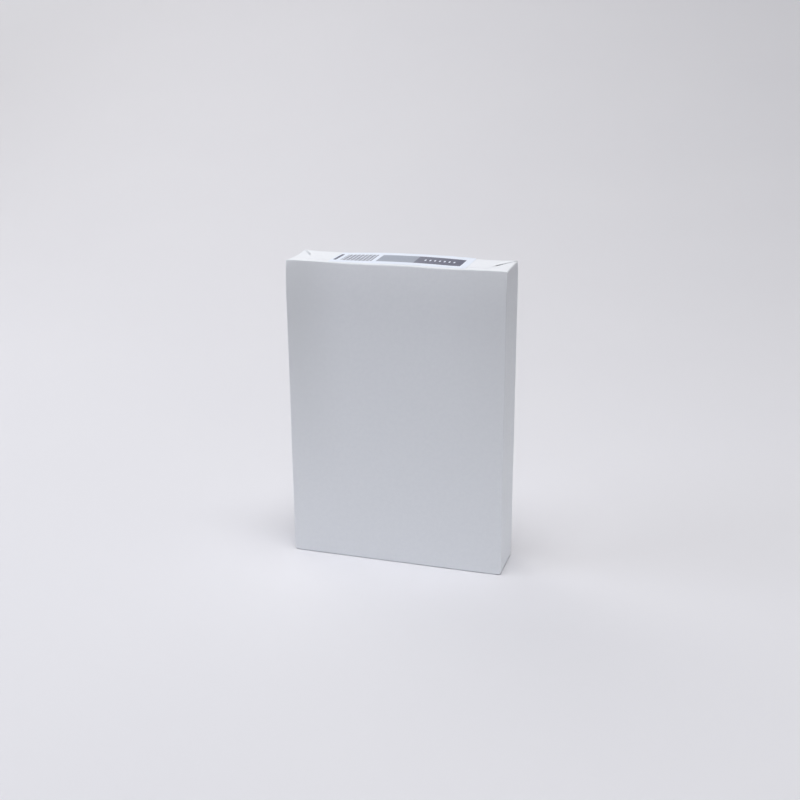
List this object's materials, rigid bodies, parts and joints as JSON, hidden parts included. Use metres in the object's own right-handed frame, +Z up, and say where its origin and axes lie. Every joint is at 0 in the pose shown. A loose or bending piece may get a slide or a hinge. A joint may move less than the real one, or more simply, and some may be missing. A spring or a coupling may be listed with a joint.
{
  "type": "ream of paper",
  "caption": "Sealed ream of office paper in a plain white paper wrapper with folded ends, standing on one short end, with a printed label over the fold of the other.",
  "frame": {"origin": "middle of the footprint, on the surface that the ream stands on", "axes": "+X along the width of the sheets, to the right seen from the front; +Y through the thickness of the stack, from the plain front face to the back face with the lap seam; +Z up along the length of the sheets, towards the labelled end"},
  "size_m": [0.2136, 0.0506, 0.3008],
  "materials": {
    "wrapper": "white wrapping paper with a faint satin coat",
    "label": "smooth white self-adhesive label paper",
    "grey_ink": "blue-grey ink printed on the label",
    "dark_ink": "dark slate ink printed on the label"
  },
  "bodies": {
    "root": {"wrapped_ream": "wrapper", "end_label": "label", "label_grey_print": "grey_ink", "label_dark_print": "dark_ink"}
  },
  "joints": []
}
